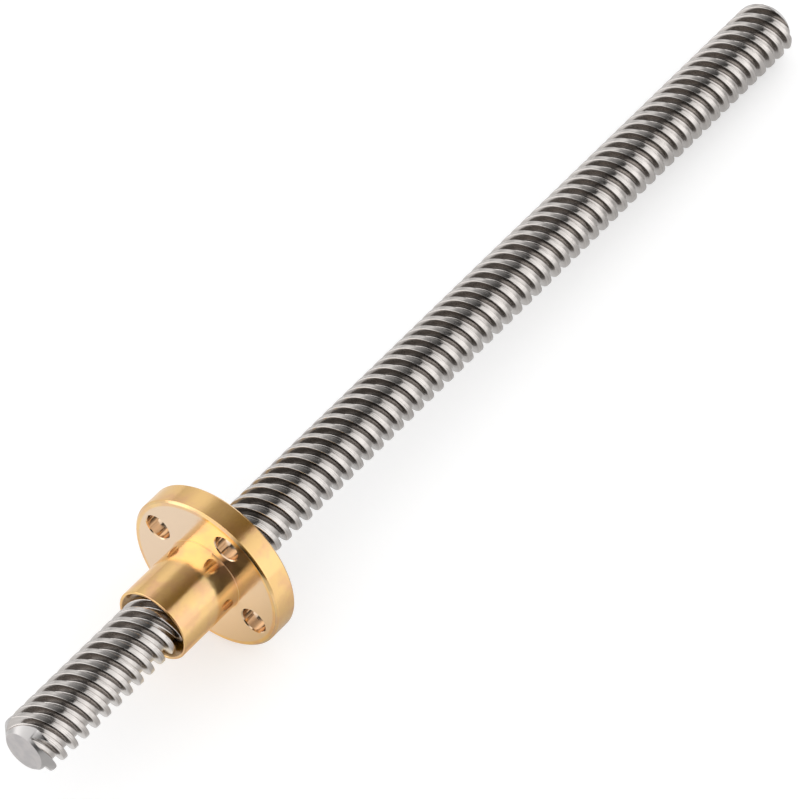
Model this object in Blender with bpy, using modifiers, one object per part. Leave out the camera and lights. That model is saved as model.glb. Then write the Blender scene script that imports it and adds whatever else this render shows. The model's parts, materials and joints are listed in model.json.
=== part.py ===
"""Trapezoidal lead screw with the flanged brass nut that travels along it.

Metres, +Z up. The screw lies as it comes to rest on a flat surface: on the rim of the
nut's flange and on its own far end. The origin is on that surface, under the middle of
the screw, and +X runs from the near end to the far end.
"""
import math

import bmesh
import bpy
from mathutils import Euler

MM = 0.001
COLLECTION = "trapezoidal_lead_screw"

# Thread, right-handed, with several starts side by side
MAJOR_DIAMETER = 8.0 * MM
PITCH = 2.0 * MM
STARTS = 4
FLANK_LEAN = math.radians(15)
FIRST_CREST = 0.7 * MM  # on the underside, from the near end face to the middle of a crest

# Screw
SCREW_LENGTH = 150.0 * MM
END_CHAMFER = 1.3 * MM

# Nut: a sleeve with a round flange near its far end
THREAD_CLEARANCE = 0.1 * MM  # between the screw's crests and the nut's bore
SLEEVE_WALL = 1.0 * MM
SLEEVE_LONG_END = 10.0 * MM
SLEEVE_SHORT_END = 1.5 * MM
FLANGE_THICKNESS = 3.5 * MM
FLANGE_EDGE = 0.4 * MM
SLEEVE_EDGE = 0.2 * MM
MOUTH_CHAMFER = 0.45 * MM
NUT_PLACE = 23.6 * MM  # from the screw's near end face to the nut's mouth

# Bolt holes in the flange
BOLT_HOLES = 4
BOLT_HOLE_DIAMETER = 3.5 * MM
SLEEVE_TO_HOLE = 1.15 * MM
HOLE_TO_RIM = 1.25 * MM
FIRST_HOLE_ANGLE = math.radians(22)  # round the axis from the underside

# Facets
SECTIONS_PER_TURN = 12
BLANK_FACETS = 48
NUT_FACETS = 18  # 2 more than a multiple of 4: corners at both sides, a flat underneath
HOLE_FACETS = 24

# Sizes that follow
LEAD = PITCH * STARTS
THREAD_DEPTH = PITCH / 2
CREST_WIDTH = PITCH / 2 * (1 - math.tan(FLANK_LEAN))
FLANK_WIDTH = THREAD_DEPTH * math.tan(FLANK_LEAN)
CREST_RADIUS = MAJOR_DIAMETER / 2
ROOT_RADIUS = CREST_RADIUS - THREAD_DEPTH
END_FACE_RADIUS = CREST_RADIUS - END_CHAMFER

BORE_RADIUS = CREST_RADIUS + THREAD_CLEARANCE
SLEEVE_RADIUS = BORE_RADIUS + SLEEVE_WALL
BOLT_CIRCLE_RADIUS = SLEEVE_RADIUS + SLEEVE_TO_HOLE + BOLT_HOLE_DIAMETER / 2
RIM_RADIUS = BOLT_CIRCLE_RADIUS + BOLT_HOLE_DIAMETER / 2 + HOLE_TO_RIM
FLANGE_BACK = SLEEVE_LONG_END + FLANGE_THICKNESS
NUT_LENGTH = FLANGE_BACK + SLEEVE_SHORT_END

# Rest: the line that touches the rim's far edge and the last full crest of the screw
RIM_CONTACT = NUT_PLACE + FLANGE_BACK - FLANGE_EDGE
END_CONTACT = SCREW_LENGTH - END_CHAMFER
REST_TILT = math.atan((RIM_RADIUS - CREST_RADIUS) / (END_CONTACT - RIM_CONTACT))
NEAR_END_X = -SCREW_LENGTH / 2 * math.cos(REST_TILT)
NEAR_END_Z = END_CONTACT * math.sin(REST_TILT) + CREST_RADIUS * math.cos(REST_TILT)


def clear_scene():
    """Remove the objects of the start scene."""
    for old in list(bpy.data.objects):
        bpy.data.objects.remove(old)


def new_collection(name):
    collection = bpy.data.collections.new(name)
    bpy.context.scene.collection.children.link(collection)
    return collection


def metal(name, color, roughness):
    material = bpy.data.materials.new(name)
    material.use_nodes = True
    shader = material.node_tree.nodes["Principled BSDF"]
    shader.inputs["Base Color"].default_value = (*color, 1)
    shader.inputs["Metallic"].default_value = 1
    shader.inputs["Roughness"].default_value = roughness
    return material


def mesh_object(name, bm, collection):
    mesh = bpy.data.meshes.new(name)
    bm.to_mesh(mesh)
    bm.free()
    thing = bpy.data.objects.new(name, mesh)
    collection.objects.link(thing)
    return thing


def turned(name, profile, facets, collection):
    """Turn a profile of (radius, height) points round Z, with a facet square to local X.

    Each radius is that of the round shape, and the facets touch it from outside.
    """
    half_facet = math.pi / facets
    bm = bmesh.new()
    corners = []
    for radius, height in profile:
        corners.append(bm.verts.new((radius, radius * math.tan(half_facet), height)))
    for start, end in zip(corners, corners[1:]):
        bm.edges.new((start, end))
    if profile[0][0] > 0:
        bm.edges.new((corners[-1], corners[0]))
    thing = mesh_object(name, bm, collection)
    screw = thing.modifiers.new("turn", "SCREW")
    screw.axis = "Z"
    screw.angle = math.tau
    screw.steps = facets
    screw.render_steps = facets
    screw.use_merge_vertices = True
    screw.merge_threshold = 0.001 * MM
    return thing


def as_cutter(thing):
    thing.hide_render = True
    thing.display_type = "WIRE"


def cut(thing, cutter, operation):
    boolean = thing.modifiers.new(operation.lower(), "BOOLEAN")
    boolean.operation = operation
    boolean.solver = "EXACT"
    boolean.object = cutter


def smooth_sides(mesh):
    mesh.shade_smooth()
    mesh.set_sharp_from_angle(angle=math.radians(40))


def thread_section():
    """The screw's outline across its axis: one tooth and one groove for each start."""
    groove_start = CREST_WIDTH / 2 + FLANK_WIDTH
    tooth = [
        (0, CREST_RADIUS),
        (CREST_WIDTH / 2, CREST_RADIUS),
        (groove_start, ROOT_RADIUS),
        (PITCH - groove_start, ROOT_RADIUS),
        (PITCH - CREST_WIDTH / 2, CREST_RADIUS),
    ]
    outline = []
    for start in range(STARTS):
        for along, radius in tooth:
            angle = (start * PITCH + along) / LEAD * math.tau
            outline.append((radius * math.cos(angle), radius * math.sin(angle)))
    return outline


def threaded_rod(name, collection):
    """Sweep the thread section along Z with one turn in each lead, a little past both ends.

    The sections fall on the middles of the crests that face the underside.
    """
    step = LEAD / SECTIONS_PER_TURN
    start = FIRST_CREST - step * (math.floor(FIRST_CREST / step) + 1)
    steps = math.ceil((SCREW_LENGTH - start) / step) + 1
    bm = bmesh.new()
    section = bm.faces.new([bm.verts.new((x, y, 0)) for x, y in thread_section()])
    bmesh.ops.spin(
        bm,
        geom=[section, *section.edges, *section.verts],
        axis=(0, 0, 1),
        dvec=(0, 0, step),
        angle=steps / SECTIONS_PER_TURN * math.tau,
        steps=steps,
    )
    first_turn = (start - FIRST_CREST) / LEAD * math.tau
    bmesh.ops.rotate(bm, verts=bm.verts, matrix=Euler((0, 0, first_turn)).to_matrix())
    bmesh.ops.translate(bm, verts=bm.verts, vec=(0, 0, start))
    sides = [face for face in bm.faces if len(face.verts) == 4]
    bmesh.ops.triangulate(bm, faces=sides, quad_method="SHORT_EDGE")
    bmesh.ops.recalc_face_normals(bm, faces=bm.faces)
    return mesh_object(name, bm, collection)


def make_screw(parts, cutters):
    """A threaded steel rod, cut square at both ends with a chamfer round each end."""
    screw = threaded_rod("lead_screw", parts)
    outside = CREST_RADIUS + END_CHAMFER
    cone_height = outside - END_FACE_RADIUS
    blank_profile = [
        (0, SCREW_LENGTH),
        (END_FACE_RADIUS, SCREW_LENGTH),
        (outside, SCREW_LENGTH - cone_height),
        (outside, cone_height),
        (END_FACE_RADIUS, 0),
        (0, 0),
    ]
    blank = turned("screw_blank", blank_profile, BLANK_FACETS, cutters)
    as_cutter(blank)
    cut(screw, blank, "INTERSECT")
    smooth_sides(screw.data)
    screw.data.materials.append(metal("bright_steel", (0.62, 0.60, 0.58), 0.25))
    return screw, blank


def bolt_hole_cutters(collection):
    """One rod for each bolt hole, a little longer than the flange is thick."""
    past_face = SLEEVE_SHORT_END / 2
    depth = FLANGE_THICKNESS + 2 * past_face
    bm = bmesh.new()
    for hole in range(BOLT_HOLES):
        angle = FIRST_HOLE_ANGLE + hole * math.tau / BOLT_HOLES
        made = bmesh.ops.create_cone(
            bm,
            cap_ends=True,
            segments=HOLE_FACETS,
            radius1=BOLT_HOLE_DIAMETER / 2,
            radius2=BOLT_HOLE_DIAMETER / 2,
            depth=depth,
        )
        centre = (
            BOLT_CIRCLE_RADIUS * math.cos(angle),
            BOLT_CIRCLE_RADIUS * math.sin(angle),
            SLEEVE_LONG_END + FLANGE_THICKNESS / 2,
        )
        bmesh.ops.translate(bm, verts=made["verts"], vec=centre)
    return mesh_object("bolt_hole_cutters", bm, collection)


def make_nut(parts, cutters):
    """A brass sleeve and flange turned in one piece, with bolt holes through the flange."""
    profile = [
        (SLEEVE_RADIUS - SLEEVE_EDGE, NUT_LENGTH),
        (SLEEVE_RADIUS, NUT_LENGTH - SLEEVE_EDGE),
        (SLEEVE_RADIUS, FLANGE_BACK),
        (RIM_RADIUS - FLANGE_EDGE, FLANGE_BACK),
        (RIM_RADIUS, FLANGE_BACK - FLANGE_EDGE),
        (RIM_RADIUS, SLEEVE_LONG_END + FLANGE_EDGE),
        (RIM_RADIUS - FLANGE_EDGE, SLEEVE_LONG_END),
        (SLEEVE_RADIUS, SLEEVE_LONG_END),
        (SLEEVE_RADIUS, SLEEVE_EDGE),
        (SLEEVE_RADIUS - SLEEVE_EDGE, 0),
        (BORE_RADIUS + MOUTH_CHAMFER, 0),
        (BORE_RADIUS, MOUTH_CHAMFER),
        (BORE_RADIUS, NUT_LENGTH - MOUTH_CHAMFER),
        (BORE_RADIUS + MOUTH_CHAMFER, NUT_LENGTH),
    ]
    nut = turned("flange_nut", profile, NUT_FACETS, parts)
    holes = bolt_hole_cutters(cutters)
    as_cutter(holes)
    cut(nut, holes, "DIFFERENCE")
    smooth_sides(nut.data)
    nut.data.materials.append(metal("turned_brass", (0.78, 0.58, 0.27), 0.22))
    return nut, holes


def lay_down(parts, screw, blank, nut, holes):
    """Lay the screw on the surface, and set the nut in its place along the screw's axis."""
    axis = bpy.data.objects.new("screw_axis", None)
    parts.objects.link(axis)
    axis.location = (NEAR_END_X, 0, NEAR_END_Z)
    axis.rotation_euler = (0, math.pi / 2 + REST_TILT, 0)
    for thing in (screw, blank, nut, holes):
        thing.parent = axis
    nut.location.z = NUT_PLACE
    holes.location.z = NUT_PLACE


def main():
    clear_scene()
    parts = new_collection(COLLECTION)
    cutters = new_collection("cutters")
    screw, blank = make_screw(parts, cutters)
    nut, holes = make_nut(parts, cutters)
    lay_down(parts, screw, blank, nut, holes)


main()
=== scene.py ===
# %% [markdown]
# # A trapezoidal lead screw with its flanged brass nut
#
# A lead screw turns rotation into travel. A steel rod carries a thread with a flat-topped,
# trapezoidal tooth, and a brass nut rides on it. This one has four threads side by side, so
# one turn moves the nut four pitches. The lesson builds the two real pieces around a packed
# model that already fixes their sizes, then gives them the finish of rolled steel and turned
# brass, and lights them like a product on a white table.

import json
import math

import bmesh
import bpy
from mathutils import Euler, Matrix, Vector


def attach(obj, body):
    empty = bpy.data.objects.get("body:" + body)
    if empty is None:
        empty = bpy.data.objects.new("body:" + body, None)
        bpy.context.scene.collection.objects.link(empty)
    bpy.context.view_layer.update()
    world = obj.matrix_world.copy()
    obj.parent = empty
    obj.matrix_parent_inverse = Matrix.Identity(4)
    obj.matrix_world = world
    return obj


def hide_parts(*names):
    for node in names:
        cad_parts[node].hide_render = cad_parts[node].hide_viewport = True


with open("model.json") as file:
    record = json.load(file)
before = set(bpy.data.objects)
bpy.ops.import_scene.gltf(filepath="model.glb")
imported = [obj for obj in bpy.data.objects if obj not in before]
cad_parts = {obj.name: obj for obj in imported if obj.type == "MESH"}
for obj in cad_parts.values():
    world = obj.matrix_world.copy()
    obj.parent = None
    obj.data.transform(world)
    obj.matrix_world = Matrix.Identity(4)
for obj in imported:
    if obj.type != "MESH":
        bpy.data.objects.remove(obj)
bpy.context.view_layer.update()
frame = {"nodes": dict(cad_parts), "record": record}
MM = 0.001

# %% [markdown]
# ## Where things are
#
# The screw doesn't lie level: it rests on the rim of the nut's flange and on its own far end.
# It could be drawn level and tilted at the end by hand, but then every piece would need the
# same hand-made tilt. Instead the two end faces in the frame give the axis, and one matrix,
# REST, carries anything modelled upright, with its near end at zero, to its real place.

# %% Find the axis and the sizes in the frame
mounts = {mount["name"]: mount for mount in frame["record"]["mounts"]}
near_end = Vector(mounts["near_end_face"]["pos_m"])
far_end = Vector(mounts["far_end_face"]["pos_m"])
axis = (far_end - near_end).normalized()
side = Vector((0, 1, 0))
underside = side.cross(axis)
REST = Matrix.Translation(near_end) @ Matrix((underside, side, axis)).transposed().to_4x4()
TO_UPRIGHT = REST.inverted()


def upright_points(node):
    """Each vertex of a CAD node with Z along the screw and X towards its underside."""
    return [TO_UPRIGHT @ vertex.co for vertex in frame["nodes"][node].data.vertices]


def height_of(mount):
    return (TO_UPRIGHT @ Vector(mounts[mount]["pos_m"])).z


screw_points = upright_points("lead_screw")
nut_points = upright_points("flange_nut")
SCREW_LENGTH = max(point.z for point in screw_points)
CREST_RADIUS = max(point.xy.length for point in screw_points)
END_FACE_RADIUS = max(point.x for point in screw_points if point.z < 0.01 * MM)
NUT_MOUTH = min(point.z for point in nut_points)
NUT_TAIL = max(point.z for point in nut_points)
FLANGE_FRONT = height_of("flange_front_face")
FLANGE_BACK = height_of("flange_back_face")
RIM_RADIUS = max(point.x for point in nut_points)
SLEEVE_RADIUS = max(point.x for point in nut_points if point.z < FLANGE_FRONT - MM)
print(f"screw {SCREW_LENGTH / MM:.2f} mm long, crests at {CREST_RADIUS / MM:.2f} mm")
print(f"end faces to {END_FACE_RADIUS / MM:.2f} mm, sleeve {SLEEVE_RADIUS / MM:.2f} mm")
print(f"nut from {NUT_MOUTH / MM:.2f} to {NUT_TAIL / MM:.2f} mm, rim {RIM_RADIUS / MM:.2f} mm")

# %% [markdown]
# ## The thread's own sizes
#
# A trapezoidal thread has flanks that lean 15 degrees, a groove half a pitch deep, and a flat
# crest that follows from those two. The real thread is rolled between dies, which leaves its
# corners slightly rounded. Without that rounding no edge would catch the light.

# %% Name the thread's sizes
PITCH = 2.0 * MM
STARTS = 4
LEAD = PITCH * STARTS
FLANK_LEAN = math.radians(15)
FIRST_CREST = 0.7 * MM
THREAD_DEPTH = PITCH / 2
ROOT_RADIUS = CREST_RADIUS - THREAD_DEPTH
CREST_WIDTH = PITCH / 2 * (1 - math.tan(FLANK_LEAN))
CREST_ROUNDING = 0.1 * MM
ROOT_ROUNDING = 0.22 * MM

# The nut is bored a little wider than the screw's roots. Its grooves are then cut by a tap
# that is this much larger than the screw's teeth, and that reaches into the bore.
BORE_ROOM = 0.1 * MM
TAP_ROOM_OVER_CREST = 0.22 * MM
TAP_ROOM_ON_FLANK = 0.05 * MM
TAP_INSIDE_BORE = 0.2 * MM
NUT_BORE_RADIUS = ROOT_RADIUS + BORE_ROOM
print(f"lead {LEAD / MM:.1f} mm, crest {CREST_WIDTH / MM:.2f} mm wide")
print(f"root {ROOT_RADIUS / MM:.2f} mm and nut bore {NUT_BORE_RADIUS / MM:.2f} mm in radius")

# %% [markdown]
# ## Outlines with rounded corners
#
# Both pieces start as an outline: the tooth as seen along the axis, and the nut's turned
# profile. Blender's Bevel could round the finished meshes, but on a fine thread it would
# cost a great many faces and leave pinched corners. Rounding the outline's corners first
# gives every arc exactly the points it needs.

# %% Round an outline's corners
def rounded(corners, arc_steps=3):
    """Points of an outline of (x, y, rounding) corners, each corner made an arc."""
    points = []
    for index, (x, y, rounding) in enumerate(corners):
        here = Vector((x, y))
        if rounding == 0 or index in (0, len(corners) - 1):
            points.append(here)
            continue
        back = (Vector(corners[index - 1][:2]) - here).normalized()
        ahead = (Vector(corners[index + 1][:2]) - here).normalized()
        half_angle = back.angle(ahead) / 2
        centre = here + (back + ahead).normalized() * rounding / math.sin(half_angle)
        reach = rounding / math.tan(half_angle)
        start = here + back * reach - centre
        turn = start.angle_signed(here + ahead * reach - centre)
        for step in range(arc_steps + 1):
            points.append(centre + Matrix.Rotation(-turn * step / arc_steps, 2) @ start)
    return points


def subdivided(points, longest):
    """The same outline with no step longer than this along x."""
    result = [points[0]]
    for start, end in zip(points, points[1:]):
        steps = max(1, math.ceil(abs(end.x - start.x) / longest - 0.01))
        for step in range(1, steps + 1):
            result.append(start.lerp(end, step / steps))
    return result


# %% Outline one tooth and lay it round the rod
LONGEST_STEP = 0.14 * MM  # along the outline, so that the flat crests follow the round rod


def thread_section(crest_radius, root_radius, flank_room):
    """The rod's outline across its axis, with one tooth for each start, counter-clockwise."""
    half_crest = CREST_WIDTH / 2 + flank_room
    lean = (crest_radius - root_radius) * math.tan(FLANK_LEAN)
    tooth = rounded([
        (0, crest_radius, 0),
        (half_crest, crest_radius, CREST_ROUNDING),
        (half_crest + lean, root_radius, ROOT_ROUNDING),
        (PITCH - half_crest - lean, root_radius, ROOT_ROUNDING),
        (PITCH - half_crest, crest_radius, CREST_ROUNDING),
        (PITCH, crest_radius, 0),
    ])
    tooth = subdivided(tooth, LONGEST_STEP)[:-1]
    outline = []
    for start in range(STARTS):
        for point in tooth:
            angle = (start * PITCH + point.x) / LEAD * math.tau
            outline.append((point.y * math.cos(angle), point.y * math.sin(angle), 0))
    return outline


screw_section = thread_section(CREST_RADIUS, ROOT_RADIUS, 0)
print("points round the rod:", len(screw_section))

# %% [markdown]
# ## Node trees as formulas
#
# A node tree is a formula drawn as boxes and wires. It could be built box by box, but a long
# sum would then fill a page. Here a Wire stands for an output socket, so that adding or
# multiplying wires adds the Math nodes, and a Board adds any other node. The thread's shape,
# the metals, the table and the light are all written with these two.

# %% Write node trees as formulas
class Wire:
    """An output socket that can be used in a formula: each operator adds a Math node."""

    def __init__(self, board, socket):
        self.board = board
        self.socket = socket

    def math(self, operation, *others):
        inputs = dict(enumerate((self, *others)))
        return self.board.add("ShaderNodeMath", {"operation": operation}, inputs)[0]

    def __add__(self, other):
        return self.math("ADD", other)

    def __sub__(self, other):
        return self.math("SUBTRACT", other)

    def __mul__(self, other):
        return self.math("MULTIPLY", other)

    def __truediv__(self, other):
        return self.math("DIVIDE", other)

    def __rsub__(self, other):
        return self.board.number(other).math("SUBTRACT", self)

    __radd__ = __add__
    __rmul__ = __mul__


class Made:
    """A node that was added. Its outputs are picked by name or place."""

    def __init__(self, board, node):
        self.board = board
        self.node = node

    def __getitem__(self, name):
        return Wire(self.board, self.node.outputs[name])


def set_stops(elements, stops):
    """Give a colour ramp its (place, level) stops, the first at 0 and the last at 1."""
    elements[0].position = 0
    elements[1].position = 1
    for place, level in stops[1:-1]:
        elements.new(place)
    for element, (place, level) in zip(elements, stops):
        element.color = (level, level, level, 1)


class Board:
    """A node tree that is built by adding nodes to it."""

    def __init__(self, tree):
        self.tree = tree

    def add(self, kind, settings=None, inputs=None):
        """Add a node: its settings first, then a value or a wire for each named socket."""
        node = self.tree.nodes.new(kind)
        for name, value in (settings or {}).items():
            if name == "stops":
                set_stops(node.color_ramp.elements, value)
            else:
                setattr(node, name, value)
        for name, value in (inputs or {}).items():
            if isinstance(value, Wire):
                self.tree.links.new(value.socket, node.inputs[name])
            else:
                node.inputs[name].default_value = value
        return Made(self, node)

    def number(self, value):
        node = self.add("ShaderNodeMath", {"operation": "ADD"}, {0: value, 1: 0.0})
        return node[0]


# %% [markdown]
# ## Sweep the thread with Geometry Nodes
#
# A real thread is one shape that moves along the rod while it turns, one turn for each lead.
# The Screw modifier could do this too, but it leaves the ends open. The tree below says the
# rule in its own words: take the section, send it along a straight line, and twist the result
# about that line by an angle that grows with height. Its inputs are the length, the lead and
# the number of rows, so the same tree makes the screw and the tap that threads the nut.

# %% Start and end a Geometry Nodes tree
def geometry_tree(name, sizes):
    """A new Geometry Nodes tree with a geometry input and the given named inputs."""
    tree = bpy.data.node_groups.new(name, "GeometryNodeTree")
    tree.interface.new_socket("Geometry", in_out="OUTPUT", socket_type="NodeSocketGeometry")
    tree.interface.new_socket("Geometry", in_out="INPUT", socket_type="NodeSocketGeometry")
    for size, kind in sizes.items():
        tree.interface.new_socket(size, in_out="INPUT", socket_type=f"NodeSocket{kind}")
    board = Board(tree)
    return board, board.add("NodeGroupInput")


def finish_tree(board, geometry, material_input):
    """End a tree the way an export needs it: real geometry with its material set."""
    real = board.add("GeometryNodeRealizeInstances", None, {"Geometry": geometry})[0]
    painted = board.add(
        "GeometryNodeSetMaterial", None, {"Geometry": real, "Material": material_input}
    )
    board.add("NodeGroupOutput", None, {"Geometry": painted[0]})
    return board.tree


# %% Build the twisted sweep
def twisted_sweep_tree():
    sizes = {"Length": "Float", "Lead": "Float", "Rows": "Int", "Material": "Material"}
    board, given = geometry_tree("twisted_sweep", sizes)
    section = board.add("GeometryNodeMeshToCurve", None, {"Mesh": given["Geometry"]})
    top = board.add("ShaderNodeCombineXYZ", None, {"Z": given["Length"]})
    line = board.add("GeometryNodeCurvePrimitiveLine", None, {"End": top["Vector"]})
    path = board.add("GeometryNodeResampleCurve", None, {"Curve": line[0], "Count": given["Rows"]})
    bar = board.add(
        "GeometryNodeCurveToMesh",
        None,
        {"Curve": path[0], "Profile Curve": section[0], "Fill Caps": True},
    )
    place = board.add("GeometryNodeInputPosition")[0]
    height = board.add("ShaderNodeSeparateXYZ", None, {"Vector": place})["Z"]
    twisted = board.add(
        "ShaderNodeVectorRotate",
        {"rotation_type": "Z_AXIS"},
        {"Vector": place, "Angle": height / given["Lead"] * math.tau},
    )
    thread = board.add(
        "GeometryNodeSetPosition", None, {"Geometry": bar[0], "Position": twisted[0]}
    )
    smooth = board.add("GeometryNodeSetShadeSmooth", None, {"Geometry": thread[0]})
    return finish_tree(board, smooth[0], given["Material"])


sweep_tree = twisted_sweep_tree()
print("twisted sweep:", len(sweep_tree.nodes), "nodes")


# %% Run a tree and keep the mesh that it makes
def helper_object(name, data):
    """A new object for a mesh or a camera."""
    thing = bpy.data.objects.new(name, data)
    bpy.context.scene.collection.objects.link(thing)
    return thing


def settled_mesh(thing):
    """The mesh that an object's modifiers make, as plain data. The object is then removed."""
    bpy.context.view_layer.update()
    graph = bpy.context.evaluated_depsgraph_get()
    mesh = bpy.data.meshes.new_from_object(thing.evaluated_get(graph))
    bpy.data.objects.remove(thing)
    return mesh


def run_tree(thing, tree, values):
    """Give an object the tree, with its inputs set, and return the mesh that it makes."""
    modifier = thing.modifiers.new(tree.name, "NODES")
    modifier.node_group = tree
    for item in tree.interface.items_tree:
        if item.name in values:
            modifier[item.identifier] = values[item.name]
    return settled_mesh(thing)


# %% Thread a rod
ROWS_PER_TURN = 40
MERGE_DISTANCE = 0.001 * MM


def outward(mesh):
    """Merge any doubled points and turn every face outwards."""
    bm = bmesh.new()
    bm.from_mesh(mesh)
    bmesh.ops.remove_doubles(bm, verts=bm.verts, dist=MERGE_DISTANCE)
    bmesh.ops.recalc_face_normals(bm, faces=bm.faces)
    bm.to_mesh(mesh)
    bm.free()
    return mesh


def thread_rod(name, section, bottom, top, material):
    """A twisted rod between two heights, with a crest where the real screw has one."""
    bm = bmesh.new()
    corners = [bm.verts.new(point) for point in section]
    for start, end in zip(corners, corners[1:] + corners[:1]):
        bm.edges.new((start, end))
    outline = bpy.data.meshes.new(name)
    bm.to_mesh(outline)
    bm.free()
    length = top - bottom
    values = {
        "Length": length,
        "Lead": LEAD,
        "Rows": math.ceil(length / LEAD * ROWS_PER_TURN),
        "Material": material,
    }
    mesh = run_tree(helper_object(name, outline), sweep_tree, values)
    mesh.transform(Euler((0, 0, (bottom - FIRST_CREST) / LEAD * math.tau)).to_matrix().to_4x4())
    mesh.transform(Matrix.Translation((0, 0, bottom)))
    return outward(mesh)


print(f"each turn of the thread: {ROWS_PER_TURN} rows of {len(screw_section)} points")

# %% [markdown]
# ## Turned shapes and cuts
#
# The end chamfers and the whole nut come off a lathe. A lathe's cut is a profile turned about
# the axis, which is what the Screw modifier does with one turn and no rise. Holes and threads
# are then cut out with the Boolean modifier's exact solver, as a drill and a tap would.
#
# Smooth shading averages the directions of the faces at each corner. Beside a small rounding
# that would bend the reflections all along a flat face or a straight sleeve. The Weighted
# Normal modifier gives large faces the say, so only the rounding itself is shaded as curved.

# %% Turn a profile and cut with it
def turned(name, profile, facets):
    """Turn (radius, height) points round Z. A profile off the axis is closed into a ring."""
    bm = bmesh.new()
    corners = [bm.verts.new((radius, 0, height)) for radius, height in profile]
    for start, end in zip(corners, corners[1:]):
        bm.edges.new((start, end))
    if profile[0][0] > 0:
        bm.edges.new((corners[-1], corners[0]))
    outline = bpy.data.meshes.new(name)
    bm.to_mesh(outline)
    bm.free()
    thing = helper_object(name, outline)
    lathe = thing.modifiers.new("turn", "SCREW")
    lathe.axis = "Z"
    lathe.steps = facets
    lathe.render_steps = facets
    lathe.use_merge_vertices = True
    lathe.merge_threshold = MERGE_DISTANCE
    return outward(settled_mesh(thing))


def carved(mesh, tool_mesh, operation):
    """The mesh after one exact Boolean with the tool's mesh."""
    body = helper_object("body", mesh)
    tool = helper_object("tool", tool_mesh)
    boolean = body.modifiers.new("cut", "BOOLEAN")
    boolean.operation = operation
    boolean.solver = "EXACT"
    boolean.object = tool
    result = settled_mesh(body)
    bpy.data.objects.remove(tool)
    return result


# %% Shade, lay down and measure a finished piece
SHARP_ANGLE = math.radians(28)


def shaded_mesh(name, mesh):
    """The mesh with its corners kept sharp and the rest smooth, led by its large faces."""
    mesh.shade_smooth()
    mesh.set_sharp_from_angle(angle=SHARP_ANGLE)
    shaded = helper_object(name, mesh)
    shaded.modifiers.new("large_faces_lead", "WEIGHTED_NORMAL").keep_sharp = True
    return settled_mesh(shaded)


def print_size(name, mesh):
    bm = bmesh.new()
    bm.from_mesh(mesh)
    open_edges = sum(1 for edge in bm.edges if not edge.is_manifold)
    volume = bm.calc_volume(signed=True) / MM**3
    bm.free()
    print(f"{name}: {len(mesh.polygons)} faces, {open_edges} open edges, {volume:.0f} cubic mm")


def finished(name, mesh, material, body, node):
    """Lay an upright mesh down in its real place as the piece that stands for a CAD node."""
    mesh.materials.clear()
    mesh.materials.append(material)
    mesh.transform(REST)
    thing = helper_object(name, shaded_mesh(name, mesh))
    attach(thing, body)
    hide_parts(node)
    print_size(name, thing.data)


# %% Make the materials' empty shells, filled in further down
rolled_steel = bpy.data.materials.new("rolled_steel")
nut_brass = bpy.data.materials.new("nut_brass")
print("materials:", rolled_steel.name, "and", nut_brass.name)

# %% [markdown]
# ## The screw
#
# The rod is threaded over its whole length, then sawn and faced: each end is square, with a
# 45 degree chamfer down to about the thread's root, so that a nut starts easily. The thread is
# swept a little too long, and a turned blank keeps only what lies inside it.

# %% Thread the rod and face its ends
PAST_END = 0.5 * MM
BLANK_ROOM = 1.0 * MM
BLANK_FACETS = 160


def make_screw():
    mesh = thread_rod("thread", screw_section, -PAST_END, SCREW_LENGTH + PAST_END, rolled_steel)
    outside = CREST_RADIUS + BLANK_ROOM
    cone = outside - END_FACE_RADIUS
    blank = turned(
        "blank",
        [
            (0, SCREW_LENGTH),
            (END_FACE_RADIUS, SCREW_LENGTH),
            (outside, SCREW_LENGTH - cone),
            (outside, cone),
            (END_FACE_RADIUS, 0),
            (0, 0),
        ],
        BLANK_FACETS,
    )
    return carved(mesh, blank, "INTERSECT")


finished("threaded_screw", make_screw(), rolled_steel, "screw", "lead_screw")

# %% [markdown]
# ## The nut
#
# The nut is turned from brass bar in one piece: a sleeve, a flange with broken edges, and a
# short sleeve end behind it. Four plain bolt holes go through the flange. Inside, its own
# thread matches the screw's, and the mouth has a wide inner chamfer that shows as a dark ring
# round the screw. The holes repeat round a circle, so a second small tree places them.

# %% Place the bolt holes round their circle
BOLT_HOLES = 4
BOLT_HOLE_RADIUS = 1.75 * MM
BOLT_CIRCLE_RADIUS = 8.0 * MM
FIRST_HOLE_ANGLE = math.radians(22)
HOLE_EDGE_BREAK = 0.12 * MM
DRILL_PAST_FACE = 0.3 * MM
DRILL_FACETS = 72


def bolt_circle_tree():
    sizes = {
        "Holes": "Int",
        "Circle Radius": "Float",
        "First Angle": "Float",
        "Material": "Material",
    }
    board, given = geometry_tree("bolt_circle", sizes)
    ring = board.add(
        "GeometryNodeMeshCircle",
        None,
        {"Vertices": given["Holes"], "Radius": given["Circle Radius"]},
    )
    turn = board.add("ShaderNodeCombineXYZ", None, {"Z": given["First Angle"]})
    turned_ring = board.add(
        "GeometryNodeTransform", None, {"Geometry": ring[0], "Rotation": turn[0]}
    )
    drills = board.add(
        "GeometryNodeInstanceOnPoints",
        None,
        {"Points": turned_ring[0], "Instance": given["Geometry"]},
    )
    return finish_tree(board, drills[0], given["Material"])


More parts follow.
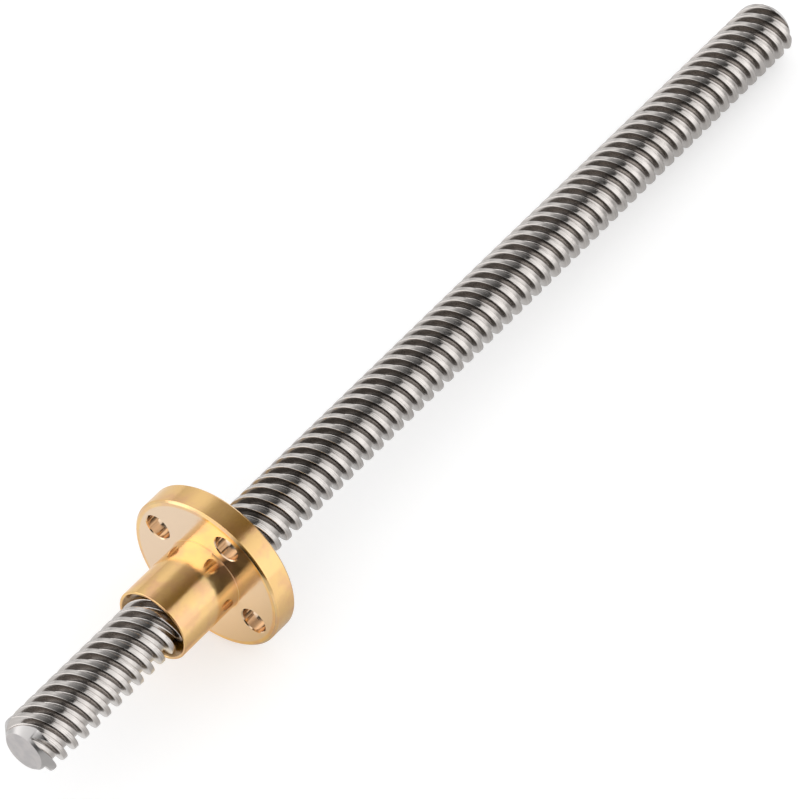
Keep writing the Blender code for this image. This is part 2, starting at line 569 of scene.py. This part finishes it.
def bolt_drills():
    """A drill for each hole, as thick as the flange, flaring a little at both faces."""
    flare = BOLT_HOLE_RADIUS + HOLE_EDGE_BREAK + DRILL_PAST_FACE
    drill = turned(
        "drill",
        [
            (0, FLANGE_BACK + DRILL_PAST_FACE),
            (flare, FLANGE_BACK + DRILL_PAST_FACE),
            (BOLT_HOLE_RADIUS, FLANGE_BACK - HOLE_EDGE_BREAK),
            (BOLT_HOLE_RADIUS, FLANGE_FRONT + HOLE_EDGE_BREAK),
            (flare, FLANGE_FRONT - DRILL_PAST_FACE),
            (0, FLANGE_FRONT - DRILL_PAST_FACE),
        ],
        DRILL_FACETS,
    )
    values = {
        "Holes": BOLT_HOLES,
        "Circle Radius": BOLT_CIRCLE_RADIUS,
        "First Angle": FIRST_HOLE_ANGLE,
        "Material": nut_brass,
    }
    return outward(run_tree(helper_object("drills", drill), bolt_circle_tree(), values))


print(f"{BOLT_HOLES} bolt holes on a circle of {BOLT_CIRCLE_RADIUS / MM:.1f} mm radius")

# %% Turn, drill and tap the nut
NUT_FACETS = 216
ARC_STEPS = 4
RIM_BREAK = 0.3 * MM
MOUTH_LIP = 0.3 * MM
SLEEVE_EDGE = 0.15 * MM
RIM_EDGE = 0.1 * MM
FLANGE_FILLET = 0.08 * MM
FACE_EDGE = 0.06 * MM
LIP_EDGE = 0.05 * MM


def nut_profile():
    """The nut's profile from the far end down its outside, then back up its bore."""
    lip_radius = SLEEVE_RADIUS - MOUTH_LIP
    mouth_depth = lip_radius - NUT_BORE_RADIUS
    corners = [
        (lip_radius, NUT_TAIL, 0),
        (SLEEVE_RADIUS, NUT_TAIL, SLEEVE_EDGE),
        (SLEEVE_RADIUS, FLANGE_BACK, FLANGE_FILLET),
        (RIM_RADIUS - RIM_BREAK, FLANGE_BACK, FACE_EDGE),
        (RIM_RADIUS, FLANGE_BACK - RIM_BREAK, RIM_EDGE),
        (RIM_RADIUS, FLANGE_FRONT + RIM_BREAK, RIM_EDGE),
        (RIM_RADIUS - RIM_BREAK, FLANGE_FRONT, FACE_EDGE),
        (SLEEVE_RADIUS, FLANGE_FRONT, FLANGE_FILLET),
        (SLEEVE_RADIUS, NUT_MOUTH, SLEEVE_EDGE),
        (lip_radius, NUT_MOUTH, LIP_EDGE),
        (NUT_BORE_RADIUS, NUT_MOUTH + mouth_depth, 0),
        (NUT_BORE_RADIUS, NUT_TAIL - mouth_depth, 0),
    ]
    return [(point.x, point.y) for point in rounded(corners, ARC_STEPS)]


def make_nut():
    mesh = turned("nut", nut_profile(), NUT_FACETS)
    tap_section = thread_section(
        CREST_RADIUS + TAP_ROOM_OVER_CREST, NUT_BORE_RADIUS - TAP_INSIDE_BORE, TAP_ROOM_ON_FLANK
    )
    tap = thread_rod("tap", tap_section, NUT_MOUTH - MM, NUT_TAIL + MM, nut_brass)
    mesh = carved(mesh, tap, "DIFFERENCE")
    return carved(mesh, bolt_drills(), "DIFFERENCE")


finished("brass_flange_nut", make_nut(), nut_brass, "nut", "flange_nut")

# %% [markdown]
# ## Coordinates that follow the thread
#
# Rolling leaves streaks along each tooth, and turning leaves rings. Both follow the piece and
# not the room, so the materials first turn Object coordinates upright with a Mapping node.
# From there a height, a radius and an angle say where a point is, and one formula gives its
# place across a tooth: 0 at a crest's middle and half at a groove's.

# %% Read a point's height, radius and angle in a material
def upright_coordinates(board):
    place = board.add("ShaderNodeTexCoord")["Object"]
    upright = board.add(
        "ShaderNodeMapping",
        {"vector_type": "POINT"},
        {
            "Vector": place,
            "Location": TO_UPRIGHT.translation,
            "Rotation": TO_UPRIGHT.to_euler(),
        },
    )[0]
    parts = board.add("ShaderNodeSeparateXYZ", None, {"Vector": upright})
    radius = board.add(
        "ShaderNodeVectorMath",
        {"operation": "LENGTH"},
        {0: board.add("ShaderNodeCombineXYZ", None, {"X": parts["X"], "Y": parts["Y"]})[0]},
    )["Value"]
    angle = parts["Y"].math("ARCTAN2", parts["X"])
    return upright, parts["Z"], radius, angle


def across_tooth(height, angle):
    """Place across a tooth in pitches: 0 in the middle of a crest, +-0.5 in a groove."""
    turns = angle / math.tau
    return ((height - FIRST_CREST) / PITCH - turns * STARTS + 0.5).math("FRACT") - 0.5


def ramp(board, value, low, high, from_value=0.0, to_value=1.0):
    """A smooth step from one value to another while the input goes from low to high."""
    return board.add(
        "ShaderNodeMapRange",
        {"interpolation_type": "SMOOTHSTEP"},
        {"Value": value, 1: low, 2: high, 3: from_value, 4: to_value},
    )[0]


def blend_colors(board, factor, first, second):
    mixed = board.add("ShaderNodeMix", {"data_type": "RGBA"}, {0: factor, 6: first, 7: second})
    return mixed[2]


def noise_at(board, place, scale, detail):
    return board.add(
        "ShaderNodeTexNoise", None, {"Vector": place, "Scale": scale, "Detail": detail}
    )[0]


def noise(board, x, y, z, detail=3.0):
    """Noise read at a place put together from three values."""
    place = board.add("ShaderNodeCombineXYZ", None, {"X": x, "Y": y, "Z": z})[0]
    return noise_at(board, place, 1.0, detail)


# %% Start and end a material
def start_material(material):
    material.use_nodes = True
    material.node_tree.nodes.clear()
    return Board(material.node_tree)


def finish_material(material, board, shader):
    board.add("ShaderNodeOutputMaterial", None, {"Surface": shader})
    print(f"{material.name}: {len(material.node_tree.nodes)} nodes")


# %% [markdown]
# ## Rolled steel
#
# The dies polish the crests and leave a fine seam or two along each one, where the metal folded
# over as it rose. They also leave the crests slightly wavy, so that reflections break up along
# them. The ends are faced and chamfered on a lathe, which leaves plain grey metal.
#
# The grooves get painted shade: the flanks that face the far end are given a dark colour, and the
# bright flanks opposite mirror it as dark lines. Just past the nut the bright flanks and the roots
# get some of this painted shade too, and it fades along the screw.

# %% Name the steel's colours
CREST_STEEL = (0.79, 0.75, 0.72, 1)
WORN_STEEL = (0.56, 0.52, 0.49, 1)
# Painted shade: the dark colour given to the grooves' flanks and roots
GROOVE_SHADE_STEEL = (0.14, 0.124, 0.112, 1)
SEAM_STEEL = (0.22, 0.19, 0.17, 1)
CHAMFER_STEEL = (0.58, 0.56, 0.55, 1)
FACED_STEEL = (0.61, 0.58, 0.57, 1)
DULL_STEEL = (0.54, 0.52, 0.52, 1)
# the darkest colour is the painted shade of the grooves
print("steel from", CREST_STEEL[:3], "on the crests to", GROOVE_SHADE_STEEL[:3], "under oil")

# %% Say where the painted groove shade and the seams lie
EXTRA_SHADE_INSIDE_NUT = 6 * MM  # the extra painted shade starts this far before the nut's tail
EXTRA_SHADE_FADES = (45 * MM, 105 * MM)  # heights along the screw
EXTRA_SHADE_BEFORE_NUT = 0.15
EXTRA_SHADE_PAST_NUT = 0.75
EXTRA_SHADE_FADING = 0.55
BRIGHT_FLANK_SHARE = 0.8
ROOT_SHARE = 0.3
SEAMS = ((-0.07, 0.016), (0.055, 0.012), (0.13, 0.014))  # place across the tooth, half width
SEAM_WANDER = 0.7 * MM
SEAM_LENGTH = 1.1 * MM

# Distances at which a finish starts and is full
CREST_EDGE = (0.2 * MM, 0.05 * MM)
ROOT_EDGE = (0.15 * MM, 0.03 * MM)
FACED_EDGE = (0.03 * MM, 0.01 * MM)
CONE_EDGE = (0.06 * MM, 0.03 * MM)
FACED_INSIDE = 0.1 * MM
print(f"{len(SEAMS)} seams on each crest, stain gone at {EXTRA_SHADE_FADES[1] / MM:.0f} mm")


# %% Find where the painted groove shade, the seams and the lathe's cuts are
def painted_groove_shade(board, height, across, on_crest, on_root):
    """How much painted shade darkens a point of the groove."""
    past_nut = (NUT_TAIL - EXTRA_SHADE_INSIDE_NUT, NUT_TAIL)
    extra_shade = ramp(board, height, *past_nut, EXTRA_SHADE_BEFORE_NUT, EXTRA_SHADE_PAST_NUT)
    extra_shade = extra_shade - ramp(board, height, *EXTRA_SHADE_FADES) * EXTRA_SHADE_FADING
    far_side = ramp(board, across, 0.0, 0.1)
    on_flank = (1 - on_crest) * (1 - on_root)
    flanks = on_flank * (far_side + (1 - far_side) * extra_shade * BRIGHT_FLANK_SHARE)
    return flanks + on_root * extra_shade * ROOT_SHARE


def seam_lines(board, across, height):
    """Dark lines along the crests that wander a little and come and go."""
    wander = (noise(board, height / SEAM_WANDER, 0.0, 0.0) - 0.5) * 0.06
    lines = 0.0
    for index, (place, half_width) in enumerate(SEAMS):
        beside = (across + wander - place).math("ABSOLUTE")
        line = ramp(board, beside, half_width, 0.0)
        shown = ramp(board, noise(board, height / SEAM_LENGTH, index * 9.0, 0.0), 0.42, 0.6)
        lines = line * shown + lines
    return lines


def turned_ends(board, height, radius):
    """The end faces and the chamfers beside them, as two masks."""
    from_end = height.math("MINIMUM", SCREW_LENGTH - height)
    inside = ramp(board, radius, END_FACE_RADIUS, END_FACE_RADIUS - FACED_INSIDE)
    faced = ramp(board, from_end, *FACED_EDGE) * inside
    beside_cone = (radius - END_FACE_RADIUS - from_end).math("ABSOLUTE")
    chamfered = ramp(board, beside_cone, *CONE_EDGE)
    return faced, chamfered


# %% Paint the steel
STREAK_LENGTH = 5 * MM
WAVE_LENGTH = 0.7 * MM
PATCH_LENGTH = 2.5 * MM
FACING_RING = 0.12 * MM
FACE_CLOUDS = 700.0
STEEL_RELIEF = 0.025 * MM


def paint_steel():
    board = start_material(rolled_steel)
    upright, height, radius, angle = upright_coordinates(board)
    across = across_tooth(height, angle)
    on_crest = ramp(board, CREST_RADIUS - radius, *CREST_EDGE)
    on_root = ramp(board, radius - ROOT_RADIUS, *ROOT_EDGE)
    faced, chamfered = turned_ends(board, height, radius)

    streaks = noise(board, across * 14, height / STREAK_LENGTH, 0.0, detail=5.0)
    waves = noise(board, across * 2, height / WAVE_LENGTH, 3.0, detail=1.0)
    patches = noise(board, across, height / PATCH_LENGTH, 7.0)
    rings = noise(board, radius / FACING_RING, 0.0, 0.0, detail=2.0)
    clouds = noise_at(board, upright, FACE_CLOUDS, 4.0)
    seams = seam_lines(board, across, height) * on_crest
    groove_shade = painted_groove_shade(board, height, across, on_crest, on_root)

    color = blend_colors(board, streaks * 0.7, CREST_STEEL, WORN_STEEL)
    # Painted shade: the grooves' flanks and roots are darkened here
    color = blend_colors(board, groove_shade, color, GROOVE_SHADE_STEEL)
    color = blend_colors(board, seams, color, SEAM_STEEL)
    color = blend_colors(board, chamfered, color, CHAMFER_STEEL)
    face_color = blend_colors(board, ramp(board, clouds, 0.35, 0.65), FACED_STEEL, DULL_STEEL)
    color = blend_colors(board, faced, color, face_color)

    roughness = 0.18 - on_crest * 0.12 + patches * 0.08 + seams * 0.2
    roughness = roughness + faced * 0.3 + chamfered * 0.08
    relief = (streaks * 0.2 + waves - seams * 0.5) * (1 - faced) * (1 - chamfered)
    relief = relief + rings * faced * 0.3
    bump = board.add(
        "ShaderNodeBump", None, {"Height": relief, "Distance": STEEL_RELIEF, "Strength": 0.8}
    )
    metal = board.add(
        "ShaderNodeBsdfPrincipled",
        None,
        {"Base Color": color, "Metallic": 1.0, "Roughness": roughness, "Normal": bump[0]},
    )
    finish_material(rolled_steel, board, metal[0])


paint_steel()

# %% [markdown]
# ## Turned brass
#
# The nut is bright from the lathe. The tool leaves very fine rings on the flange faces and round
# the sleeve, and handling leaves shallow streaks along it. The colour wanders a little between
# yellow and pink where the metal has begun to dull. The front face is painted a paler brass up to
# its outer edge, a painted sheen for the paler look of its reflection. The tapped bore and the
# inner chamfers at its ends are given a dark brown.
#
# On the sleeve, up to about 3 mm before the flange, and on the rim, a matt brown shader is mixed
# in at a seventh. It is painted light: it stands in for the warm light that the brass bounces into
# its own dark reflections. It hardly shows beside a bright reflection, but it keeps the dark ones
# warm. A browner metal would not, because it would change the bright reflections as well.

# %% Name the brass's colours
BRIGHT_BRASS = (0.95, 0.66, 0.31, 1)
DULL_BRASS = (0.87, 0.55, 0.32, 1)
# Painted sheen: a paler brass for the front face, for the paler look of its reflection
FACE_SHEEN_BRASS = (0.88, 0.68, 0.49, 1)
HOLE_BRASS = (0.86, 0.66, 0.48, 1)
# a dark brown for the tapped bore and the inner chamfers at its ends
BORE_BRASS = (0.30, 0.21, 0.12, 1)
# Painted light: the warm brown that brass bounces into its dark reflections
WARM_BOUNCE_BROWN = (1.0, 0.42, 0.02, 1)
print("brass from", BRIGHT_BRASS[:3], "to", DULL_BRASS[:3], "with", FACE_SHEEN_BRASS[:3], "in front")

# %% Find the front face, the holes, the bore and the painted warm bounce
# Distances at which each finish and each painted light starts and is full
FACE_SKIN = (0.05 * MM, 0.0)
FACE_INNER_EDGE = (0.0, 0.3 * MM)
FACE_OUTER_EDGE = (0.6 * MM, 0.9 * MM)
BORE_BELOW_LIP = (0.02 * MM, 0.14 * MM)
WARM_BOUNCE_BEFORE_FLANGE = (3.0 * MM, 4.2 * MM)
WARM_BOUNCE_BELOW_RIM = (0.2 * MM, 0.1 * MM)


# Where the front face's painted sheen lies
def on_front_face(board, height, radius):
    skin = ramp(board, (height - FLANGE_FRONT).math("ABSOLUTE"), *FACE_SKIN)
    inner = ramp(board, radius - SLEEVE_RADIUS, *FACE_INNER_EDGE)
    outer = ramp(board, RIM_RADIUS - radius, *FACE_OUTER_EDGE)
    return skin * inner * outer


def in_the_bore(board, radius):
    lip_radius = SLEEVE_RADIUS - MOUTH_LIP
    return ramp(board, lip_radius - radius, *BORE_BELOW_LIP)


def from_hole_centre(board, radius, angle):
    """Distance from the middle of the nearest bolt hole."""
    share = math.tau / BOLT_HOLES
    beside = (((angle - FIRST_HOLE_ANGLE) / share + 0.5).math("FRACT") - 0.5) * share
    outwards = radius * beside.math("COSINE") - BOLT_CIRCLE_RADIUS
    sideways = radius * beside.math("SINE")
    return (outwards * outwards + sideways * sideways).math("SQRT")


def warm_bounce_cover(board, height, radius):
    """Where the painted warm bounce lies: the sleeve up to about 3 mm before the flange, and the
    flange's rim.
    """
    on_sleeve = ramp(board, FLANGE_FRONT - height, *WARM_BOUNCE_BEFORE_FLANGE)
    on_rim = ramp(board, RIM_RADIUS - radius, *WARM_BOUNCE_BELOW_RIM)
    return on_sleeve + on_rim


# %% Paint the brass
BRASS_CLOUDS = 400.0
TURNING_RING = 0.1 * MM
HANDLING_STREAKS = 1400.0
BRASS_RELIEF = 0.012 * MM
WARM_BOUNCE_SHARE = 0.14


def paint_brass():
    board = start_material(nut_brass)
    upright, height, radius, angle = upright_coordinates(board)
    hole_distance = from_hole_centre(board, radius, angle)
    in_hole = ramp(board, hole_distance, BOLT_HOLE_RADIUS + HOLE_EDGE_BREAK, BOLT_HOLE_RADIUS)
    in_bore = in_the_bore(board, radius)

    clouds = noise_at(board, upright, BRASS_CLOUDS, 4.0)
    rings = noise(board, radius / TURNING_RING, height / TURNING_RING, 0.0, detail=2.0)
    lengthwise = board.add(
        "ShaderNodeMapping", None, {"Vector": upright, "Scale": (1.0, 1.0, 0.12)}
    )[0]
    streaks = noise_at(board, lengthwise, HANDLING_STREAKS, 4.0)

    color = blend_colors(board, ramp(board, clouds, 0.42, 0.68), BRIGHT_BRASS, DULL_BRASS)
    # Painted sheen: the front face is made paler
    color = blend_colors(board, on_front_face(board, height, radius), color, FACE_SHEEN_BRASS)
    color = blend_colors(board, in_hole, color, HOLE_BRASS)
    # the bore and its inner chamfers are made dark brown
    color = blend_colors(board, in_bore, color, BORE_BRASS)
    roughness = 0.08 + clouds * 0.14 - in_hole * 0.05
    bump = board.add(
        "ShaderNodeBump",
        None,
        {
            "Height": rings * 0.25 + streaks + clouds * 4.0,
            "Distance": BRASS_RELIEF,
            "Strength": 0.5,
        },
    )
    metal = board.add(
        "ShaderNodeBsdfPrincipled",
        None,
        {"Base Color": color, "Metallic": 1.0, "Roughness": roughness, "Normal": bump[0]},
    )
    # Painted light: a matt brown layer for the warm bounce in the dark reflections
    warm_bounce = board.add("ShaderNodeBsdfDiffuse", None, {"Color": WARM_BOUNCE_BROWN})
    cover = warm_bounce_cover(board, height, radius) * WARM_BOUNCE_SHARE
    both = board.add("ShaderNodeMixShader", None, {0: cover, 1: metal[0], 2: warm_bounce[0]})
    finish_material(nut_brass, board, both[0])


paint_brass()

# %% [markdown]
# ## The table
#
# A pale table with a soft shadow. To the camera a glow of its own lifts it to white, and the
# shadow still shows. The metal sees a plain pale surface that is lit more strongly on the far
# side of the screw, less behind that, and again some way out on the near side. In front of
# the flange the bright brass throws a patch of its own light on the table and sees it again.
# The renderer could find that patch by following rays from metal to table, but it would cost
# a great deal of time and leave noise, so the patch is painted.

# %% Say how the table is lit
PALE_GREY = (0.62, 0.62, 0.62, 1)
CAMERA_GLOW = 0.49
FAR_SIDE_LIGHT = 0.36
BEHIND_DIMMING = 0.18
NEAR_SIDE_LIGHT = 0.42
BRASS_LIGHT = {"X": 0.16, "Y": 0.1, "Z": -0.02}  # red, green and blue

# Where each light starts and is full: across the screw from its axis
FAR_SIDE = (-9 * MM, 2 * MM)
BEHIND = (12 * MM, 40 * MM)
NEAR_SIDE = (-12 * MM, -45 * MM)
PATCH_NEAR_EDGE = (-9 * MM, -6 * MM)
PATCH_FAR_EDGE = (3 * MM, -1 * MM)

# And along the screw, from its near end and from the flange's front face
PAST_NEAR_END = (-15 * MM, 15 * MM)
PATCH_START = (-14.7 * MM, -9.7 * MM)
PATCH_END = (1.3 * MM, -0.7 * MM)


def table_light(board, x, y):
    """How strongly each place on the table is lit, as the metal sees it."""
    far_side = ramp(board, y, *FAR_SIDE)
    behind = ramp(board, y, *BEHIND)
    near_side = ramp(board, y, *NEAR_SIDE) * ramp(board, x - near_end.x, *PAST_NEAR_END)
    return far_side * FAR_SIDE_LIGHT - behind * BEHIND_DIMMING + near_side * NEAR_SIDE_LIGHT


def brass_patch(board, x, y):
    """Where the flange's front face throws its light down on the table."""
    from_flange = x - (near_end + axis * FLANGE_FRONT).x
    across = ramp(board, y, *PATCH_NEAR_EDGE) * ramp(board, y, *PATCH_FAR_EDGE)
    along = ramp(board, from_flange, *PATCH_START) * ramp(board, from_flange, *PATCH_END)
    return across * along


print(f"table: {FAR_SIDE_LIGHT} on the far side, {NEAR_SIDE_LIGHT} out on the near side")

# %% Lay the table
TABLE_HALF_WIDTH = 3.0


def make_table():
    bm = bmesh.new()
    bmesh.ops.create_grid(bm, x_segments=1, y_segments=1, size=TABLE_HALF_WIDTH)
    mesh = bpy.data.meshes.new("table")
    bm.to_mesh(mesh)
    bm.free()
    material = bpy.data.materials.new("pale_table")
    board = start_material(material)
    paint = board.add("ShaderNodeBsdfDiffuse", None, {"Color": PALE_GREY})
    place = board.add("ShaderNodeTexCoord")["Object"]
    place = board.add("ShaderNodeSeparateXYZ", None, {"Vector": place})
    rays = board.add("ShaderNodeLightPath")
    in_metal = rays["Is Glossy Ray"]
    level = in_metal * table_light(board, place["X"], place["Y"])
    level = rays["Is Camera Ray"] * CAMERA_GLOW + level
    patch = in_metal * brass_patch(board, place["X"], place["Y"])
    tint = {channel: patch * share + level for channel, share in BRASS_LIGHT.items()}
    color = board.add("ShaderNodeCombineXYZ", None, tint)
    glow = board.add("ShaderNodeEmission", None, {"Color": color[0], "Strength": 1.0})
    both = board.add("ShaderNodeAddShader", None, {0: paint[0], 1: glow[0]})
    finish_material(material, board, both[0])
    mesh.materials.append(material)
    helper_object("table", mesh)


make_table()

# %% [markdown]
# ## The camera
#
# A long lens from far away shows the screw with almost no perspective. The camera could be
# aimed by eye, but then no tone could be compared with the photograph point by point. Its
# turn, its lens and its distance were found from the rod's edges and ends, and its place
# follows: from there the middle of the near end face falls on its own pixel.

# %% Set the camera that the photograph was taken with
FOCAL_LENGTH = 265.05
SENSOR_WIDTH = 36.0
IMAGE_SIZE = 800
CAMERA_AZIMUTH = math.radians(37.973)
CAMERA_ELEVATION = math.radians(53.932)
NEAR_END_PIXEL = (23.65, 751.34)
NEAR_END_DISTANCE = 686.456 * MM


def camera_rotation():
    return Euler((math.pi / 2 - CAMERA_ELEVATION, 0, CAMERA_AZIMUTH - math.pi / 2))


def make_camera():
    data = bpy.data.cameras.new("camera")
    data.lens = FOCAL_LENGTH
    data.sensor_width = SENSOR_WIDTH
    data.clip_start = 0.01
    camera = helper_object("camera", data)
    turn = camera_rotation().to_matrix()
    per_pixel = SENSOR_WIDTH / FOCAL_LENGTH / IMAGE_SIZE * NEAR_END_DISTANCE
    right = (NEAR_END_PIXEL[0] - IMAGE_SIZE / 2) * per_pixel
    down = (NEAR_END_PIXEL[1] - IMAGE_SIZE / 2) * per_pixel
    camera.rotation_euler = camera_rotation()
    camera.location = near_end - turn @ Vector((right, -down, -NEAR_END_DISTANCE))
    bpy.context.scene.camera = camera
    return camera


camera = make_camera()
print("camera at", [round(value, 4) for value in camera.location])

# %% [markdown]
# ## The light
#
# Polished metal is only as good as what it reflects. In the studio long soft lights lie along
# the screw, one on each side, with a dark gap between them. Lamps could be hung there, but a
# world that is painted by direction gives the same strips, without noise. Its first coordinate
# is the angle round the screw's axis, counted from the side that faces the viewer. Surfaces
# along the screw reflect its far half and faces across it reflect the near half, so the two
# halves have strips of their own, with the viewer as a dark shape in the near one.

# %% Name the strips of light
# Brightness at angles round the screw, in degrees from the side that faces the viewer.
FAR_STRIPS = (
    (-180, 0.8),
    (-130, 0.75),
    (-110, 0.6),
    (-80, 0.88),
    (-68, 0.84),
    (-60, 0.56),
    (-53, 0.35),
    (-38, 0.26),
    (-22, 0.11),
    (-8, 0.05),
    (-2, 0.05),
    (4, 0.82),
    (12, 0.95),
    (26, 1.1),
    (42, 1.28),
    (58, 1.25),
    (75, 1.12),
    (95, 0.95),
    (180, 0.9),
)
NEAR_STRIPS = (
    (-180, 0.9),
    (-140, 1.5),
    (-100, 1.9),
    (-30, 1.9),
    (-15, 1.5),
    (10, 0.03),
    (62, 0.03),
    (75, 0.3),
    (95, 0.68),
    (130, 0.6),
    (180, 0.85),
)

# Places along the axis' direction, from -1 at the near end to 1 at the far end
HALVES_MEET = (-0.45, -0.25)
NEAR_END_DIMS = (-0.6, -0.75)
NEAR_END_DIMMING = 0.45
print("strips:", len(FAR_STRIPS), "levels in the far half,", len(NEAR_STRIPS), "in the near half")


# %% Paint the studio round the screw
def light_strips(board, turn, strips):
    """The strips' brightness at an angle in degrees."""
    stops = [((degrees + 180) / 360, level) for degrees, level in strips]
    return board.add("ShaderNodeValToRGB", {"stops": stops}, {"Fac": (turn + 180) / 360})[0]


def make_studio():
    to_camera = camera.location - near_end
    facing = (to_camera - axis * to_camera.dot(axis)).normalized()
    sideways = axis.cross(facing)
    world = bpy.data.worlds.new("studio")
    bpy.context.scene.world = world
    world.use_nodes = True
    world.node_tree.nodes.clear()
    board = Board(world.node_tree)
    direction = board.add("ShaderNodeTexCoord")["Generated"]

    def along(vector):
        return board.add(
            "ShaderNodeVectorMath", {"operation": "DOT_PRODUCT"}, {0: direction, 1: vector}
        )["Value"]

    turn = along(sideways).math("ARCTAN2", along(facing)) * (180 / math.pi)
    far_half = light_strips(board, turn, FAR_STRIPS)
    near_half = light_strips(board, turn, NEAR_STRIPS)
    lengthwise = along(axis)
    dimming = ramp(board, lengthwise, *NEAR_END_DIMS) * NEAR_END_DIMMING
    near_half = blend_colors(board, dimming, near_half, (0, 0, 0, 1))
    painted = blend_colors(board, ramp(board, lengthwise, *HALVES_MEET), near_half, far_half)
    in_metal = board.add("ShaderNodeLightPath")["Is Glossy Ray"]
    color = blend_colors(board, in_metal, (1, 1, 1, 1), painted)
    light = board.add("ShaderNodeBackground", None, {"Color": color})
    board.add("ShaderNodeOutputWorld", None, {"Surface": light[0]})
    print("studio:", len(world.node_tree.nodes), "nodes")


make_studio()

# %% Set the view
bpy.context.scene.view_settings.view_transform = "Standard"
